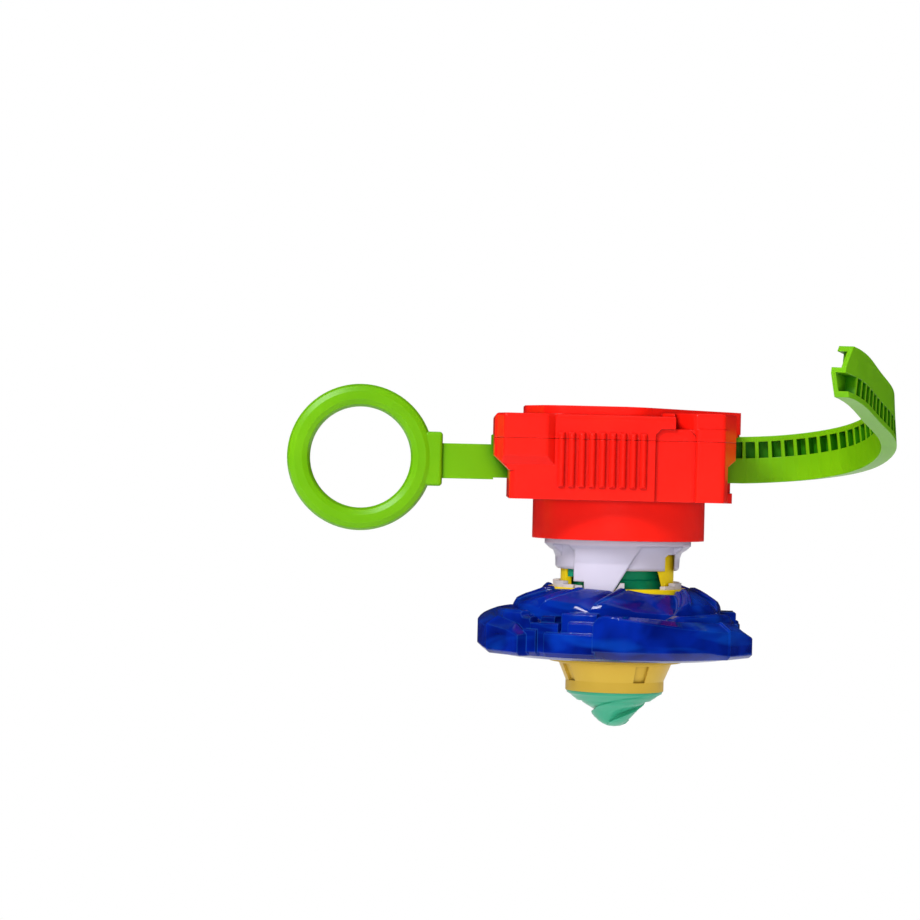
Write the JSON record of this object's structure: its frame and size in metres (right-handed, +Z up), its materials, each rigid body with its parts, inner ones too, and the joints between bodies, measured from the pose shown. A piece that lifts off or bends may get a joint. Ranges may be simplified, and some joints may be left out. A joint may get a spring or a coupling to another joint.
{
  "type": "spinning top launcher",
  "caption": "Hand-held launcher whose toothed pull strip spins a geared prong rotor, with a bladed spinning top clipped under it.",
  "frame": {"origin": "on the spin axis, at the middle height of the finger grips", "axes": "+Z up along the spin axis, away from the top's tip; +X along the strip towards its curled free end; +Y towards the back grip panel"},
  "size_m": [0.1046, 0.0805, 0.066],
  "materials": {
    "housing_red": "glossy moulded red plastic",
    "strip_green": "glossy moulded lime green plastic",
    "rotor_white": "satin lavender white plastic",
    "gear_white": "natural acetal",
    "ring_blue": "translucent deep blue polycarbonate",
    "click_white": "satin white plastic",
    "frame_yellow": "glossy yellow plastic",
    "base_yellow": "satin mustard yellow plastic",
    "core_green": "dark green translucent plastic",
    "tip_green": "satin mint green plastic",
    "steel": "zinc plated steel",
    "weight_metal": "tumbled zinc alloy",
    "bush_brass": "plain brass"
  },
  "bodies": {
    "housing": {"upper_shell": "housing_red", "lower_shell": "housing_red", "housing_screws": "steel", "spindle_bush": "bush_brass"},
    "strip": {"rip_strip": "strip_green", "rip_strip_tail": "strip_green"},
    "rotor": {"rotor": "rotor_white", "pinion": "gear_white", "spindle_washer": "steel", "spindle_screw": "steel"},
    "top": {"blade_ring": "ring_blue", "click_ring": "click_white", "frame_plate": "frame_yellow", "ring_screws": "steel", "weight_ring": "weight_metal", "base": "base_yellow"},
    "core": {"lock_core": "core_green", "core_screw": "steel", "tip": "tip_green", "core_spring": "steel"}
  },
  "joints": [
    {"name": "strip_pull", "type": "slide", "parent": "housing", "child": "strip", "axis": [1, 0, 0], "range_m": [-0.1, 0.0085], "deforming": ["rip_strip_tail"]},
    {"name": "rotor_spin", "type": "hinge", "parent": "housing", "child": "rotor", "pos_m": [0, 0, 0], "axis": [0, 0, 1], "range_deg": [-110, 1210]},
    {"name": "top_release", "type": "slide", "parent": "rotor", "child": "top", "axis": [0, 0, 1], "range_m": [-0.03, 0]},
    {"name": "core_press", "type": "slide", "parent": "top", "child": "core", "axis": [0, 0, 1], "range_m": [-0.0012, 0], "stiffness_N_per_m": 600, "springref_m": 0.003, "deforming": ["core_spring"]}
  ],
  "couplings": [
    {"joint": "rotor_spin", "follows": "strip_pull", "rad_per_m": -209.44}
  ]
}
